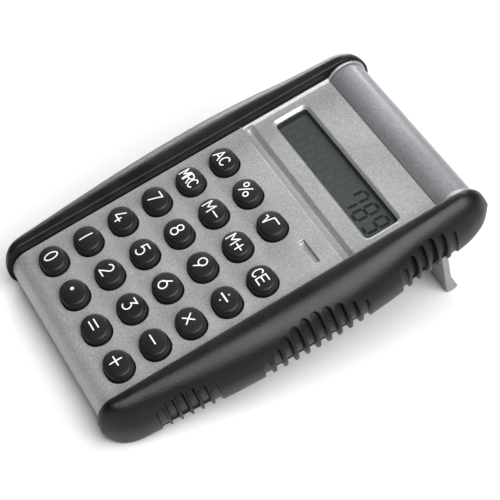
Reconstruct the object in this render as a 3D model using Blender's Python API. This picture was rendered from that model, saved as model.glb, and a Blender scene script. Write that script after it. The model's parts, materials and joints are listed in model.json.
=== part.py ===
"""Desk calculator with rubber side grips and a flip-over display cover that is also its stand.

Everything is laid out in the keypad plate's own frame: X across the keys, Y from the keypad to the
display, Z out of the plate, with the plate's face at zero. One empty tilts that frame on to its stand.
Units are metres.
"""

import math

import bmesh
import bpy
import numpy as np
from mathutils import Matrix, Vector

MM = 0.001
GAP = 0.3 * MM

# Case: outside of the two shells
PLATE_HALF = 34.1 * MM
FRONT_Y = -44.7 * MM
FRONT_RADIUS = 7.0 * MM
END_WALL_Y = 75.4 * MM
PANEL_END_Y = 77.45 * MM
PARTING_Z = -9.0 * MM
BACK_Z = -15.2 * MM
WALL = 1.8 * MM
BACK_RADIUS = 5.9 * MM
RAIL_HALF = 39.4 * MM
RAIL_FRONT_Y = -34.0 * MM
RAIL_END_Y = 72.0 * MM
RAIL_TOP_Z = -2.6 * MM
RAIL_BOTTOM_Z = -13.9 * MM

# Keys
PITCH_X = 16.0 * MM
PITCH_Y = 12.72 * MM
KEY_HALF_X = 5.45 * MM
KEY_HALF_Y = 4.45 * MM
KEY_TOP_Z = 3.1 * MM
KEY_FLANGE_TOP_Z = -2.1 * MM
KEY_FLANGE_BOTTOM_Z = -3.3 * MM
KEY_STEM_Z = -5.0 * MM
KEY_STEM_HALF = (3.5 * MM, 2.6 * MM)
KEY_CORNER_STEPS = 3
KEY_ROWS = (
    ("ac", "percent", "root", None),
    ("mrc", "m_minus", "m_plus", "ce"),
    ("7", "8", "9", "divide"),
    ("4", "5", "6", "times"),
    ("1", "2", "3", "minus"),
    ("0", "point", "equals", "plus"),
)

# Display end of the plate
PANEL_Z = -0.7 * MM
PANEL_HALF = 33.2 * MM
GROOVE_NEAR_Y = 43.2 * MM
GROOVE_FLOOR_Z = -2.5 * MM
WINDOW_HALF = (28.9 * MM, 5.85 * MM)
WINDOW_Y = 59.5 * MM
SLOT_CENTRE = (22.8 * MM, 36.5 * MM)
SLOT_HALF = (5.2 * MM, 1.25 * MM)

# Hinge and flip cover
AXIS_Y = 83.3 * MM
AXIS_Z = -5.0 * MM
BARREL_RADIUS = 7.0 * MM
BARREL_BORE = 5.4 * MM
COVER_HALF = 32.8 * MM
COVER_NEAR = -7.4 * MM
COVER_THICKNESS = 2.4 * MM
COVER_LENGTH = 42.5 * MM
COVER_LEAN = 0.8 * MM
TOE_LENGTH = 8.8 * MM
TOE_FLARE = 2.0 * MM
EAR_RADIUS = 7.6 * MM
EAR_BOSS_RADIUS = 5.6 * MM
EAR_OUTER = 39.0 * MM
PIN_RADIUS = 1.5 * MM

# Inside
WEB_Z = (-6.0 * MM, -4.7 * MM)
BOARD_Z = (-7.5 * MM, -6.3 * MM)
BOARD_HALF = 28.0 * MM
BOARD_Y = (-37.5 * MM, 67.5 * MM)
CASE_SCREW_PLACES = tuple(
    (side * x * MM, y * MM) for x, y in ((29.6, -40.0), (30.6, 46.2), (30.6, 70.3)) for side in (-1, 1)
)
BOARD_SCREW_PLACES = tuple((x * PITCH_X, y * PITCH_Y) for x in (-1, 1) for y in (-1.5, 1.5))
CELL_CENTRE = (0.0, 4.0 * MM)
CELL_RADIUS = 5.8 * MM
CELL_Z = (-13.0 * MM, -10.5 * MM)
DOOR_HALF = (11.0 * MM, 9.0 * MM)
DOOR_TRAVEL = 14.0 * MM
DOOR_THICKNESS = 0.9 * MM

# Grips. Plan: place along Y and half width of the whole object there, in millimetres.
# Channel zones: first place along Y, pitch, number of channels and top of the tallest one.
GRIP_INNER = 34.4 * MM
GRIP_TOP_Z = 3.6 * MM
GRIP_BOTTOM_Z = -15.7 * MM
GRIP_NEAR_Y = -46.1 * MM
GRIP_FAR_Y = 92.3 * MM
GRIP_PLAN = ((-47, 35.7), (-44, 38.6), (-39, 41.3), (-30, 42.8), (-12, 45.1), (6, 46.7),
             (42, 47.0), (54, 45.8), (66, 44.0), (78, 42.9), (85, 41.8), (89, 40.2), (93, 36.6))
GRIP_STATIONS = 24
CHANNEL_RADIUS = 1.2 * MM
CHANNEL_DEPTH = 1.9 * MM
CHANNEL_ZONES = ((-28.6, 3.75, 6, 2.0), (7.4, 3.85, 10, -1.2), (57.7, 3.55, 6, 1.7))


# ---------------------------------------------------------------- scene helpers

def clear_scene():
    for item in list(bpy.data.objects):
        bpy.data.objects.remove(item, do_unlink=True)


def new_collection(name):
    collection = bpy.data.collections.new(name)
    bpy.context.scene.collection.children.link(collection)
    return collection


def make_material(name, colour, roughness, metallic=0.0, transmission=0.0):
    material = bpy.data.materials.new(name)
    material.use_nodes = True
    shader = material.node_tree.nodes["Principled BSDF"]
    shader.inputs["Base Color"].default_value = (*colour, 1.0)
    shader.inputs["Roughness"].default_value = roughness
    shader.inputs["Metallic"].default_value = metallic
    shader.inputs["Transmission Weight"].default_value = transmission
    return material


def finish_object(name, bm, home, base, material=None, at=(0.0, 0.0, 0.0)):
    """Turn a bmesh drawn in the plate frame into an object whose origin is at the given place."""
    bmesh.ops.translate(bm, verts=bm.verts, vec=-Vector(at))
    bmesh.ops.recalc_face_normals(bm, faces=bm.faces)
    mesh = bpy.data.meshes.new(name)
    bm.to_mesh(mesh)
    bm.free()
    mesh.shade_smooth()
    mesh.set_sharp_from_angle(angle=math.radians(32))
    item = bpy.data.objects.new(name, mesh)
    item.location = at
    item.parent = base
    home.objects.link(item)
    if material:
        mesh.materials.append(material)
    return item


def combine(target, operation, name, bm, cutters, base):
    """Add a Boolean modifier to the target with a tool made from a bmesh in the plate frame."""
    tool = finish_object(name, bm, cutters, base)
    tool.hide_render = True
    tool.display_type = "WIRE"
    step = target.modifiers.new(name, "BOOLEAN")
    step.operation = operation
    step.solver = "EXACT"
    step.object = tool


# ---------------------------------------------------------------- shape helpers

def rounded_outline(half_x, half_y, radius, steps, centre=(0.0, 0.0)):
    """Points of a rectangle with round corners, anticlockwise; a pill when the radius is a half side."""
    points = []
    for quarter, (sx, sy) in enumerate(((1, 1), (-1, 1), (-1, -1), (1, -1))):
        for step in range(steps + 1):
            angle = math.radians(90) * (quarter + step / steps)
            x = centre[0] + sx * (half_x - radius) + radius * math.cos(angle)
            y = centre[1] + sy * (half_y - radius) + radius * math.sin(angle)
            if not points or math.dist(points[-1], (x, y)) > 0.01 * MM:
                points.append((x, y))
    if math.dist(points[0], points[-1]) < 0.01 * MM:
        points.pop()
    return points


def arc_points(centre, radius, start, end, steps):
    """Points of an arc between two angles in degrees."""
    angles = [math.radians(start + (end - start) * step / steps) for step in range(steps + 1)]
    return [(centre[0] + radius * math.cos(a), centre[1] + radius * math.sin(a)) for a in angles]


def add_prism(bm, outline, low, high, axis="Z"):
    """Extrude a closed outline between two levels, along Z from XY points or along X from YZ points."""
    def place(u, v, w):
        return Vector((w, u, v)) if axis == "X" else Vector((u, v, w))

    face = bm.faces.new([bm.verts.new(place(u, v, low)) for u, v in outline])
    grown = bmesh.ops.extrude_face_region(bm, geom=[face], use_keep_orig=True)
    moved = [item for item in grown["geom"] if isinstance(item, bmesh.types.BMVert)]
    bmesh.ops.translate(bm, verts=moved, vec=place(0.0, 0.0, high - low))


def add_tower(bm, levels):
    """Join a stack of outlines with the same number of points, given as (outline, height) pairs."""
    rings = [[bm.verts.new((x, y, z)) for x, y in outline] for outline, z in levels]
    for lower, upper in zip(rings, rings[1:]):
        for i, vert in enumerate(lower):
            j = (i + 1) % len(lower)
            bm.faces.new((vert, lower[j], upper[j], upper[i]))
    bm.faces.new(rings[0][::-1])
    bm.faces.new(rings[-1])


def add_box(bm, x, y, z):
    """Add a box between pairs of limits."""
    size = Vector((x[1] - x[0], y[1] - y[0], z[1] - z[0]))
    centre = Vector((x[0] + x[1], y[0] + y[1], z[0] + z[1])) / 2
    bmesh.ops.create_cube(bm, size=1.0, matrix=Matrix.Translation(centre) @ Matrix.Diagonal((*size, 1.0)))


def add_cylinder(bm, radius, start, end, segments, top_radius=None):
    """Add a cylinder or a cone between two points."""
    start, end = Vector(start), Vector(end)
    turn = (end - start).to_track_quat("Z", "Y").to_matrix().to_4x4()
    bmesh.ops.create_cone(
        bm, cap_ends=True, cap_tris=False, segments=segments, depth=(end - start).length,
        radius1=radius, radius2=radius if top_radius is None else top_radius,
        matrix=Matrix.Translation((start + end) / 2) @ turn)


def key_places():
    """Name and centre of each key."""
    for row, names in enumerate(KEY_ROWS):
        for column, name in enumerate(names):
            if name:
                yield name, ((column - 1.5) * PITCH_X, (2.5 - row) * PITCH_Y)


def key_outline(grow, centre=(0.0, 0.0), half=(KEY_HALF_X, KEY_HALF_Y)):
    half_x, half_y = half[0] + grow, half[1] + grow
    return rounded_outline(half_x, half_y, half_y, KEY_CORNER_STEPS, centre)


# ---------------------------------------------------------------- case shells

def front_profile(inset, top, low, end):
    """Side view of the front shell or of its hollow: flat top, round front, straight end."""
    centre = (FRONT_Y + FRONT_RADIUS, -FRONT_RADIUS)
    arc = arc_points(centre, FRONT_RADIUS - inset, 90, 180, 6)
    return [(end, low), (end, top)] + [(y, min(z, top)) for y, z in arc] + [(FRONT_Y + inset, low)]


def build_front_cover(home, cutters, base, silver):
    bm = bmesh.new()
    overhang = [(PANEL_END_Y - 0.5 * MM, -1.6 * MM), (PANEL_END_Y, PANEL_Z), (PANEL_END_Y, 0.0)]
    profile = front_profile(0.0, 0.0, PARTING_Z, END_WALL_Y)
    profile[1:2] = [(END_WALL_Y, -1.6 * MM)] + overhang
    add_prism(bm, profile, -PLATE_HALF, PLATE_HALF, "X")
    cover = finish_object("front_cover", bm, home, base, silver)

    rails = bmesh.new()
    for side in (-1, 1):
        x = sorted((side * (PLATE_HALF - 1.2 * MM), side * RAIL_HALF))
        add_box(rails, x, (RAIL_FRONT_Y, RAIL_END_Y), (PARTING_Z, RAIL_TOP_Z))
    combine(cover, "UNION", "front_rails", rails, cutters, base)

    ears = bmesh.new()
    for side in (-1, 1):
        add_cylinder(ears, EAR_RADIUS, (side * PANEL_HALF, AXIS_Y, AXIS_Z),
                     (side * PLATE_HALF, AXIS_Y, AXIS_Z), 36)
    combine(cover, "UNION", "ear_discs", ears, cutters, base)

    bosses = bmesh.new()
    for side in (-1, 1):
        x = sorted((side * (PANEL_HALF + 0.2 * MM), side * EAR_OUTER))
        back = (RAIL_END_Y - 2.0 * MM, AXIS_Y)
        add_box(bosses, x, back, (AXIS_Z - EAR_BOSS_RADIUS + 1.7 * MM, AXIS_Z + 2.3 * MM))
    combine(cover, "UNION", "ear_arms", bosses, cutters, base)

    ends = bmesh.new()
    for side in (-1, 1):
        add_cylinder(ends, EAR_BOSS_RADIUS, (side * (PANEL_HALF + 0.25 * MM), AXIS_Y, AXIS_Z),
                     (side * (EAR_OUTER + 0.1 * MM), AXIS_Y, AXIS_Z), 16)
    combine(cover, "UNION", "ear_bosses", ends, cutters, base)

    hollow = bmesh.new()
    inside = front_profile(WALL, -WALL, PARTING_Z - MM, END_WALL_Y - WALL)
    inside[1:2] = [(END_WALL_Y - WALL, -2.0 * MM), (51.4 * MM, -2.0 * MM), (51.4 * MM, -3.9 * MM),
                   (40.2 * MM, -3.9 * MM), (40.2 * MM, -WALL)]
    half = PLATE_HALF - WALL
    add_prism(hollow, inside, -half, half, "X")
    combine(cover, "DIFFERENCE", "front_hollow", hollow, cutters, base)

    recess = bmesh.new()
    floor = [(GROOVE_NEAR_Y, MM), (GROOVE_NEAR_Y, 0.0), (45.2 * MM, GROOVE_FLOOR_Z),
             (46.1 * MM, GROOVE_FLOOR_Z), (47.4 * MM, PANEL_Z), (80.0 * MM, PANEL_Z), (80.0 * MM, MM)]
    add_prism(recess, floor, -PANEL_HALF, PANEL_HALF, "X")
    combine(cover, "DIFFERENCE", "display_recess", recess, cutters, base)

    posts = bmesh.new()
    for x, y in CASE_SCREW_PLACES:
        top = -3.2 * MM if GROOVE_NEAR_Y < y < WINDOW_Y else -1.4 * MM
        add_cylinder(posts, 2.2 * MM, (x, y, PARTING_Z + GAP), (x, y, top), 12)
    for x, y in BOARD_SCREW_PLACES:
        add_cylinder(posts, 1.9 * MM, (x, y, BOARD_Z[1] + GAP), (x, y, -1.2 * MM), 12)
    combine(cover, "UNION", "front_posts", posts, cutters, base)

    holes = bmesh.new()
    for _, centre in key_places():
        add_prism(holes, key_outline(GAP, centre), -2.2 * MM, MM)
    levels = []
    for grow, z in ((0.0, -2.6 * MM), (0.0, -1.8 * MM), (0.95 * MM, PANEL_Z), (2.1 * MM, 0.6 * MM)):
        half = (WINDOW_HALF[0] + grow, WINDOW_HALF[1] + grow)
        outline = rounded_outline(*half, 1.6 * MM + grow, 4, (0.0, WINDOW_Y))
        levels.append((outline, z))
    add_tower(holes, levels)
    add_prism(holes, rounded_outline(*SLOT_HALF, 0.3 * MM, 2, SLOT_CENTRE), -1.0 * MM, MM)
    for x, y in CASE_SCREW_PLACES:
        add_cylinder(holes, 1.3 * MM, (x, y, PARTING_Z - MM), (x, y, -4.2 * MM), 8)
    for x, y in BOARD_SCREW_PLACES:
        add_cylinder(holes, 1.1 * MM, (x, y, BOARD_Z[1] - MM), (x, y, -2.6 * MM), 8)
    for side in (-1, 1):
        add_cylinder(holes, PIN_RADIUS + GAP, (side * 33.0 * MM, AXIS_Y, AXIS_Z),
                     (side * (EAR_OUTER - 0.9 * MM), AXIS_Y, AXIS_Z), 12)
    combine(cover, "DIFFERENCE", "front_holes", holes, cutters, base)


def back_profile(inset, top):
    """Side view of the rear shell or of its hollow: straight top, round lower front edge."""
    radius = BACK_RADIUS - inset
    low = BACK_Z + inset
    centre = (FRONT_Y + inset + radius, low + radius)
    end = END_WALL_Y - inset
    return [(end, top), (FRONT_Y + inset, top)] + arc_points(centre, radius, 180, 270, 4) + [(end, low)]


def build_rear_cover(home, cutters, base, plastic):
    bm = bmesh.new()
    add_prism(bm, back_profile(0.0, PARTING_Z - GAP), -PLATE_HALF, PLATE_HALF, "X")
    cover = finish_object("rear_cover", bm, home, base, plastic)

    rails = bmesh.new()
    for side in (-1, 1):
        x = sorted((side * (PLATE_HALF - 1.2 * MM), side * RAIL_HALF))
        add_box(rails, x, (RAIL_FRONT_Y, RAIL_END_Y), (RAIL_BOTTOM_Z, PARTING_Z - GAP))
    combine(cover, "UNION", "rear_rails", rails, cutters, base)

    hollow = bmesh.new()
    half = PLATE_HALF - WALL
    add_prism(hollow, back_profile(WALL, PARTING_Z + MM), -half, half, "X")
    combine(cover, "DIFFERENCE", "rear_hollow", hollow, cutters, base)

    posts = bmesh.new()
    for x, y in CASE_SCREW_PLACES:
        add_cylinder(posts, 2.2 * MM, (x, y, -14.6 * MM), (x, y, PARTING_Z - GAP), 12)
    x, y = CELL_CENTRE
    add_cylinder(posts, CELL_RADIUS + 1.7 * MM, (x, y, -13.9 * MM), (x, y, -10.4 * MM), 24)
    combine(cover, "UNION", "rear_posts", posts, cutters, base)

    holes = bmesh.new()
    for sx, sy in CASE_SCREW_PLACES:
        add_cylinder(holes, 1.3 * MM, (sx, sy, -14.2 * MM), (sx, sy, PARTING_Z + MM), 8)
    add_cylinder(holes, CELL_RADIUS + GAP, (x, y, -14.2 * MM), (x, y, -9.0 * MM), 24)
    combine(cover, "DIFFERENCE", "rear_holes", holes, cutters, base)

    outside = bmesh.new()
    for sx, sy in CASE_SCREW_PLACES:
        add_cylinder(outside, 2.0 * MM, (sx, sy, BACK_Z - MM), (sx, sy, -13.9 * MM), 12)
    track = (y - DOOR_HALF[1] - GAP, y + DOOR_HALF[1] + DOOR_TRAVEL + GAP)
    add_box(outside, (x - DOOR_HALF[0] - GAP, x + DOOR_HALF[0] + GAP), track, (BACK_Z - MM, -14.0 * MM))
    combine(cover, "DIFFERENCE", "rear_outside_cuts", outside, cutters, base)


# ---------------------------------------------------------------- grips

def smooth_between(table, where):
    """Value at a place, eased by a smooth curve through (place, value) pairs."""
    places = np.array([row[0] for row in table], dtype=float)
    values = np.array([row[1] for row in table], dtype=float)
    slopes = np.gradient(values, places)
    index = int(np.clip(np.searchsorted(places, where) - 1, 0, len(places) - 2))
    span = places[index + 1] - places[index]
    t = (where - places[index]) / span
    return float((2 * t**3 - 3 * t**2 + 1) * values[index] + (t**3 - 2 * t**2 + t) * span * slopes[index]
                 + (3 * t**2 - 2 * t**3) * values[index + 1] + (t**3 - t**2) * span * slopes[index + 1])


def end_factor(y, start, stop):
    """1 on the straight stretch, falling to 0 at the end along a quarter of an ellipse."""
    share = min(max((y - start) / (stop - start), 0.0), 1.0)
    return math.sqrt(1.0 - share**2)


def grip_limits(y):
    """Half width, top and bottom of the grip at a place along Y."""
    half = smooth_between(GRIP_PLAN, y / MM) * MM
    mid = -7.0 * MM
    front = end_factor(y, -39.0 * MM, GRIP_NEAR_Y)
    far_top = end_factor(y, AXIS_Y - 0.8 * MM, GRIP_FAR_Y)
    far_bottom = end_factor(y, 75.0 * MM, GRIP_FAR_Y)
    top = mid + (GRIP_TOP_Z - mid) * front * far_top
    bottom = mid + (GRIP_BOTTOM_Z - mid) * front * far_bottom
    return half, top, bottom


def grip_section(y, side):
    """Section of a grip: inner edge, crest, round outer side, flat underside."""
    half, top, bottom = grip_limits(y)
    scale = (top - bottom) / (GRIP_TOP_Z - GRIP_BOTTOM_Z)
    crest = top - 0.4 * MM * scale
    widest = top - 10.5 * MM * scale
    knee = GRIP_INNER + 0.27 * (half - GRIP_INNER)
    under = GRIP_INNER + 0.70 * (half - GRIP_INNER)
    points = [(GRIP_INNER, crest)]
    for angle in (125, 105, 90, 72, 56, 42, 28, 14, 0):
        a = math.radians(angle)
        if angle > 90:
            points.append((knee + (knee - GRIP_INNER) * math.cos(a), crest + (top - crest) * math.sin(a)))
        else:
            points.append((knee + (half - knee) * math.cos(a), widest + (top - widest) * math.sin(a) ** 1.2))
    for angle in (-25, -50, -72, -90):
        a = math.radians(angle)
        points.append((under + (half - under) * math.cos(a), widest + (widest - bottom) * math.sin(a)))
    points.append((GRIP_INNER, bottom))
    return [(side * x, y, z) for x, z in points]


def build_grip(name, side, home, cutters, base, rubber):
    bm = bmesh.new()
    middle = (GRIP_NEAR_Y + GRIP_FAR_Y) / 2
    reach = (GRIP_FAR_Y - GRIP_NEAR_Y) / 2 - 0.25 * MM
    rings = []
    for step in range(GRIP_STATIONS + 1):
        share = -1 + 2 * step / GRIP_STATIONS
        y = middle + reach * math.sin(share * math.pi / 2)
        rings.append([bm.verts.new(point) for point in grip_section(y, side)])
    for near, far in zip(rings, rings[1:]):
        for i in range(len(near)):
            j = (i + 1) % len(near)
            bm.faces.new((near[i], near[j], far[j], far[i]))
    bm.faces.new(rings[0])
    bm.faces.new(rings[-1])
    grip = finish_object(name, bm, home, base, rubber)

    rail = bmesh.new()
    across = sorted((side * 30.0 * MM, side * (RAIL_HALF + GAP)))
    along = (RAIL_FRONT_Y - GAP, RAIL_END_Y + GAP)
    add_box(rail, across, along, (RAIL_BOTTOM_Z - GAP, RAIL_TOP_Z + GAP))
    combine(grip, "DIFFERENCE", name + "_rail", rail, cutters, base)

    arm = bmesh.new()
    across = sorted((side * 30.0 * MM, side * (EAR_OUTER + GAP)))
    low = AXIS_Z - EAR_BOSS_RADIUS + 1.7 * MM - GAP
    add_box(arm, across, (RAIL_END_Y - MM, AXIS_Y + GAP), (low, AXIS_Z + 2.3 * MM + GAP))
    combine(grip, "DIFFERENCE", name + "_arm", arm, cutters, base)

    boss = bmesh.new()
    add_cylinder(boss, EAR_BOSS_RADIUS + GAP, (side * 30.0 * MM, AXIS_Y, AXIS_Z),
                 (side * (EAR_OUTER + 0.4 * MM), AXIS_Y, AXIS_Z), 16)
    combine(grip, "DIFFERENCE", name + "_boss", boss, cutters, base)

    channels = bmesh.new()
    for first, pitch, count, top in CHANNEL_ZONES:
        for index in range(count):
            y = (first + pitch * index) * MM
            spread = 2 * index / (count - 1) - 1
            high = (top - 5.5 * spread**2) * MM
            outline = [(y - CHANNEL_RADIUS, -20 * MM), (y + CHANNEL_RADIUS, -20 * MM)]
            outline += arc_points((y, high - CHANNEL_RADIUS), CHANNEL_RADIUS, 0, 180, 4)
            depth = grip_limits(y)[0] - CHANNEL_DEPTH
            add_prism(channels, outline, *sorted((side * depth, side * 50 * MM)), "X")
    combine(grip, "DIFFERENCE", name + "_channels", channels, cutters, base)


# ---------------------------------------------------------------- flip cover and hinge

def build_flip_cover(home, cutters, base, silver):
    """Barrel with the plate that hangs from it; its origin is on the hinge axis."""
    at = (0.0, AXIS_Y, AXIS_Z)
    near = AXIS_Y + COVER_NEAR
    far = near + COVER_THICKNESS
    foot = AXIS_Z - COVER_LENGTH
    bm = bmesh.new()
    add_cylinder(bm, BARREL_RADIUS, (-COVER_HALF, AXIS_Y, AXIS_Z), (COVER_HALF, AXIS_Y, AXIS_Z), 40)
    cover = finish_object("flip_cover", bm, home, base, silver, at)

    plate = bmesh.new()
    profile = [(near, AXIS_Z + 0.4 * MM), (near - COVER_LEAN, foot + 0.6 * MM),
               (near - COVER_LEAN + 0.6 * MM, foot), (far - COVER_LEAN + TOE_FLARE - 0.8 * MM, foot),
               (far - COVER_LEAN + TOE_FLARE, foot + 0.8 * MM),
               (far - 0.8 * COVER_LEAN, foot + TOE_LENGTH), (far, AXIS_Z - 2.0 * MM), (far + 0.9 * MM, AXIS_Z)]
    add_prism(plate, profile, -COVER_HALF, COVER_HALF, "X")
    combine(cover, "UNION", "cover_plate", plate, cutters, base)

    bore = bmesh.new()
    half = COVER_HALF + MM
    add_cylinder(bore, BARREL_BORE, (-half, AXIS_Y, AXIS_Z), (half, AXIS_Y, AXIS_Z), 20)
    combine(cover, "DIFFERENCE", "barrel_bore", bore, cutters, base)


def build_hinge(home, cutters, base, plastic, steel):
    for name, side in (("left", -1), ("right", 1)):
        bm = bmesh.new()
        outer = (side * (COVER_HALF - 0.2 * MM), AXIS_Y, AXIS_Z)
        add_cylinder(bm, BARREL_BORE - GAP, (side * 26.5 * MM, AXIS_Y, AXIS_Z), outer, 20)
        plug = finish_object("cover_plug_" + name, bm, home, base, plastic, outer)
        bore = bmesh.new()
        add_cylinder(bore, PIN_RADIUS + GAP, (side * 28.0 * MM, AXIS_Y, AXIS_Z),
                     (side * 40.0 * MM, AXIS_Y, AXIS_Z), 12)
        combine(plug, "DIFFERENCE", "plug_bore_" + name, bore, cutters, base)
        bm = bmesh.new()
        inner = (side * 28.5 * MM, AXIS_Y, AXIS_Z)
        add_cylinder(bm, PIN_RADIUS, inner, (side * (EAR_OUTER - 1.3 * MM), AXIS_Y, AXIS_Z), 12)
        finish_object("hinge_pin_" + name, bm, home, base, steel, inner)


# ---------------------------------------------------------------- keys and display

def build_keys(home, base, rubber):
    """Each key is a domed cap above a retaining flange, on a stem over the board."""
    for name, (x, y) in key_places():
        shape = (
            (key_outline(0.0, (x, y), KEY_STEM_HALF), KEY_STEM_Z),
            (key_outline(0.0, (x, y), KEY_STEM_HALF), KEY_FLANGE_BOTTOM_Z),
            (key_outline(0.6 * MM, (x, y)), KEY_FLANGE_BOTTOM_Z),
            (key_outline(0.6 * MM, (x, y)), KEY_FLANGE_TOP_Z),
            (key_outline(0.0, (x, y)), KEY_FLANGE_TOP_Z),
            (key_outline(-0.25 * MM, (x, y)), 2.0 * MM),
            (key_outline(-0.95 * MM, (x, y)), 2.75 * MM),
            (key_outline(-2.4 * MM, (x, y)), KEY_TOP_Z),
        )
        bm = bmesh.new()
        add_tower(bm, shape)
        finish_object("key_" + name, bm, home, base, rubber, (x, y, 0.0))


def build_display(home, cutters, base, materials):
    def sheet(name, half, z, material):
        bm = bmesh.new()
        add_prism(bm, rounded_outline(*half, 1.0 * MM, 3, (0.0, WINDOW_Y)), *z)
        return finish_object(name, bm, home, base, material, (0.0, WINDOW_Y, z[0]))

    sheet("display_window", (30.6 * MM, 6.9 * MM), (-3.1 * MM, -2.3 * MM), materials["lens"])
    gasket = sheet("display_gasket", (30.6 * MM, 7.1 * MM), (-3.7 * MM, -3.4 * MM), materials["black"])
    opening = bmesh.new()
    inner = rounded_outline(28.2 * MM, 5.3 * MM, 1.0 * MM, 3, (0.0, WINDOW_Y))
    add_prism(opening, inner, -4.2 * MM, -2.9 * MM)
    combine(gasket, "DIFFERENCE", "gasket_opening", opening, cutters, base)
    bm = bmesh.new()
    add_box(bm, (-30.6 * MM, 30.6 * MM), (52.0 * MM, 67.8 * MM), (-5.4 * MM, -4.0 * MM))
    finish_object("lcd_panel", bm, home, base, materials["lcd"], (0.0, WINDOW_Y, -5.4 * MM))
    bm = bmesh.new()
    add_box(bm, (-27.0 * MM, 27.0 * MM), (65.4 * MM, 67.2 * MM), (-6.1 * MM, -5.6 * MM))
    finish_object("elastomer_connector", bm, home, base, materials["pink"], (0.0, 66.3 * MM, -6.1 * MM))


# ---------------------------------------------------------------- inside the case

def build_web(home, cutters, base, rubber):
    bm = bmesh.new()
    add_prism(bm, rounded_outline(31.0 * MM, 37.2 * MM, 1.5 * MM, 3), *WEB_Z)
    web = finish_object("keypad_web", bm, home, base, rubber, (0.0, 0.0, WEB_Z[0]))
    holes = bmesh.new()
    for _, centre in key_places():
        half_x, half_y = KEY_STEM_HALF[0] + 0.5 * MM, KEY_STEM_HALF[1] + 0.5 * MM
        add_prism(holes, rounded_outline(half_x, half_y, 1.5 * MM, 1, centre), WEB_Z[0] - MM, WEB_Z[1] + MM)
    for x, y in BOARD_SCREW_PLACES:
        add_cylinder(holes, 2.3 * MM, (x, y, WEB_Z[0] - MM), (x, y, WEB_Z[1] + MM), 12)
    combine(web, "DIFFERENCE", "web_holes", holes, cutters, base)


def build_board(home, cutters, base, materials):
    bm = bmesh.new()
    add_box(bm, (-BOARD_HALF, BOARD_HALF), BOARD_Y, BOARD_Z)
    board = finish_object("circuit_board", bm, home, base, materials["board"], (0.0, 0.0, BOARD_Z[0]))
    holes = bmesh.new()
    for x, y in BOARD_SCREW_PLACES:
        add_cylinder(holes, 1.2 * MM, (x, y, BOARD_Z[0] - MM), (x, y, BOARD_Z[1] + MM), 8)
    combine(board, "DIFFERENCE", "board_holes", holes, cutters, base)

    bm = bmesh.new()
    top = BOARD_Z[0] - GAP
    for radius, narrow, z, depth in ((5.0, 4.2, 0.0, 0.7), (4.2, 2.0, 0.7, 0.5)):
        add_cylinder(bm, radius * MM, (0.0, 34.0 * MM, top - z * MM),
                     (0.0, 34.0 * MM, top - (z + depth) * MM), 24, narrow * MM)
    bmesh.ops.remove_doubles(bm, verts=bm.verts, dist=0.01 * MM)
    inner = [face for face in bm.faces if abs(face.calc_center_median().z - top + 0.7 * MM) < 0.01 * MM
             and abs(face.normal.z) > 0.9]
    bmesh.ops.delete(bm, geom=inner, context="FACES_ONLY")
    finish_object("processor_blob", bm, home, base, materials["black"], (0.0, 34.0 * MM, top))


def build_screws(name, places, home, base, steel, head, shank):
    """Screws driven in from behind: a pan head below, a shank reaching up."""
    head_radius, head_low, head_high = head
    shank_radius, shank_top = shank
    profile = ((head_radius, head_low), (head_radius, head_high), (shank_radius, head_high),
               (shank_radius, shank_top))
    for number, (x, y) in enumerate(places, 1):
        levels = [(arc_points((x, y), radius, 0, 360, 8)[:-1], z) for radius, z in profile]
        bm = bmesh.new()
        add_tower(bm, levels)
        finish_object(f"{name}_{number}", bm, home, base, steel, (x, y, head_low))


def build_battery(home, base, materials):
    x, y = CELL_CENTRE
    bm = bmesh.new()
    add_cylinder(bm, CELL_RADIUS, (x, y, CELL_Z[0]), (x, y, CELL_Z[1]), 24)
    finish_object("button_cell", bm, home, base, materials["steel"], (x, y, CELL_Z[0]))

    strips = (("battery_contact_minus", ((-2.5, -10.2), (-2.5, -9.9), (6.2, -8.2), (6.2, -7.8), (8.5, -7.8),
                                         (8.5, -8.1), (6.6, -8.1), (6.6, -8.4), (-2.2, -10.2))),
              ("battery_contact_plus", ((-5.5, -13.3), (-5.5, -13.7), (5.5, -13.7), (5.5, -13.3))))
    for name, profile in strips:
        bm = bmesh.new()
        outline = [(y + v * MM, z * MM) for v, z in profile]
        add_prism(bm, outline, x - 1.5 * MM, x + 1.5 * MM, "X")
        finish_object(name, bm, home, base, materials["steel"], (x, y, profile[0][1] * MM))

    bm = bmesh.new()
    add_box(bm, (x - DOOR_HALF[0], x + DOOR_HALF[0]), (y - DOOR_HALF[1], y + DOOR_HALF[1]),
            (BACK_Z, BACK_Z + DOOR_THICKNESS))
    finish_object("battery_door", bm, home, base, materials["plastic"], (x, y, BACK_Z))


# ---------------------------------------------------------------- standing on the table

def stand_up(base, home):
    """Tilt the plate frame on to the front of the grips and the cover's toe, and centre it on the origin."""
    depsgraph = bpy.context.evaluated_depsgraph_get()
    points = []
    foot = None
    for item in home.objects:
        if item.type != "MESH":
            continue
        mesh = item.evaluated_get(depsgraph).to_mesh()
        spots = [item.matrix_world @ vert.co for vert in mesh.vertices]
        if item.name == "flip_cover":
            low = min(spot.z for spot in spots)
            toe = [spot for spot in spots if spot.z < low + 0.8 * MM]
            foot = min(toe, key=lambda spot: spot.y * 0.25 + spot.z)
        points += spots
    ahead = [spot for spot in points if spot.y < foot.y - 20 * MM]
    tilt = min(math.atan2(spot.z - foot.z, foot.y - spot.y) for spot in ahead)
    turn = Matrix.Rotation(tilt, 4, "X")
    placed = [turn @ spot for spot in points]
    low_y = min(spot.y for spot in placed)
    high_y = max(spot.y for spot in placed)
    base.rotation_euler = (tilt, 0.0, 0.0)
    base.location = (0.0, -(low_y + high_y) / 2, -min(spot.z for spot in placed))


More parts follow.
